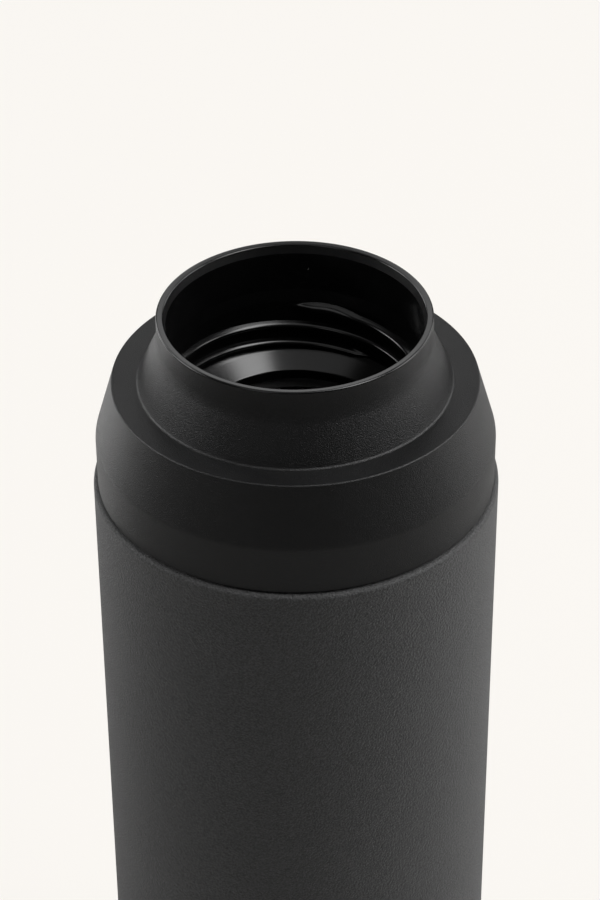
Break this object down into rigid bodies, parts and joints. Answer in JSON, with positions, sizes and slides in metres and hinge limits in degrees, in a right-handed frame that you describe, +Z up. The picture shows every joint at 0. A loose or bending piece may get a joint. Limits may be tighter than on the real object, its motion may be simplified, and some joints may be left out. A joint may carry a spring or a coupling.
{
  "type": "vacuum flask",
  "caption": "Double-walled steel vacuum flask, straight body, screw-on drinking mouthpiece with flared neck, ledge and inner stopper thread.",
  "frame": {"origin": "centre of the base, on the surface that the flask stands on", "axes": "+Z up along the flask's axis, through the mouth"},
  "size_m": [0.066, 0.066, 0.2024],
  "materials": {
    "coated_steel": "fine sand-textured matte powder coat",
    "bare_steel": "satin stainless steel",
    "black_plastic": "fine matte texture outside, polished inside",
    "gasket_silicone": "satin grey silicone",
    "pad_silicone": "matte black silicone",
    "copper": "bright copper foil",
    "solder_glass": "opaque solder glass",
    "getter_pellet": "sintered grey pellet",
    "tape": "white foam tape"
  },
  "bodies": {
    "flask": {"outer_shell": "coated_steel", "outer_base": "bare_steel", "vacuum_seal": "solder_glass", "base_cover": "coated_steel", "pad_adhesive": "tape", "base_pad": "pad_silicone", "inner_vessel": "bare_steel", "inner_base": "bare_steel", "copper_foil": "copper", "foil_disc": "copper", "getter": "getter_pellet", "getter_clip": "bare_steel"},
    "gasket_ring": {"neck_gasket": "gasket_silicone"},
    "mouthpiece": {"mouthpiece": "black_plastic"}
  },
  "joints": [
    {"name": "collar_lift", "type": "slide", "parent": "flask", "child": "gasket_ring", "axis": [0, 0, 1], "range_m": [0, 0.0043]},
    {"name": "collar_turn", "type": "hinge", "parent": "gasket_ring", "child": "mouthpiece", "pos_m": [0, 0, 0.18], "axis": [0, 0, 1], "range_deg": [0, 510]}
  ],
  "couplings": [
    {"joint": "collar_lift", "follows": "collar_turn", "m_per_rad": 0.00047746}
  ]
}
